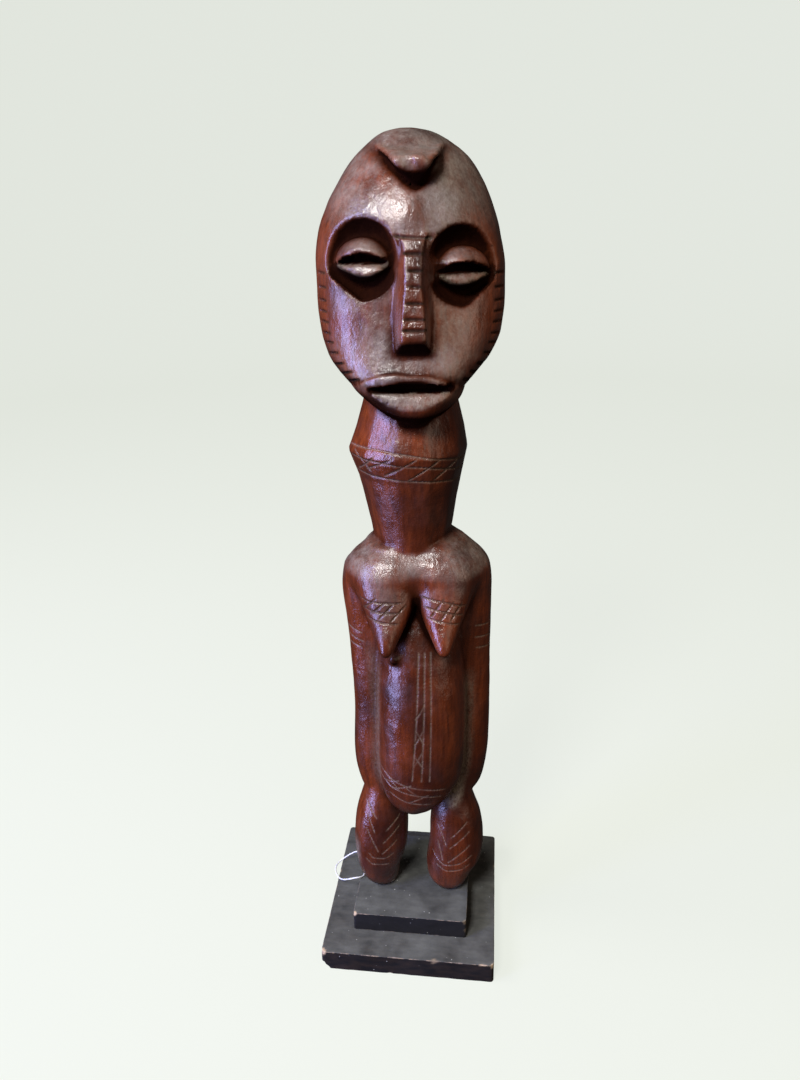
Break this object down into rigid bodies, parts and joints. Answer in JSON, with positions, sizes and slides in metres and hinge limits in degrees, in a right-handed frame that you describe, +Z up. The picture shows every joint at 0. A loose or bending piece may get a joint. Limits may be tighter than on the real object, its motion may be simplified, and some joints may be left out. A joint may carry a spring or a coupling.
{
  "type": "carved ancestor figure",
  "caption": "Carved wooden standing figure with a long oval head, belted neck and drumstick legs, pinned to a two-tier black plinth, with a thread tag loop at one foot.",
  "frame": {"origin": "middle of the plinth's underside", "axes": "+Z up along the figure, -Y the plinth's front, +X to the viewer's right; the figure is turned 6 degrees about +Z from the plinth's front"},
  "size_m": [0.1223, 0.122, 0.5225],
  "materials": {
    "figure_wood": "hand-carved hardwood, dark red-brown stain, waxed and polished",
    "plinth_wood": "matte black painted wood, dusty, with worn edges",
    "steel": "plain steel",
    "thread": "white twisted thread"
  },
  "bodies": {
    "base": {"plinth_board": "plinth_wood", "plinth_block": "plinth_wood", "left_mounting_pin": "steel", "right_mounting_pin": "steel", "plinth_screws": "steel", "tag_string": "thread", "tag_string_knot": "thread"},
    "figure": {"carved_figure": "figure_wood"}
  },
  "joints": [
    {"name": "figure_lift", "type": "slide", "parent": "base", "child": "figure", "axis": [0, 0, 1], "range_m": [0, 0.04]}
  ]
}
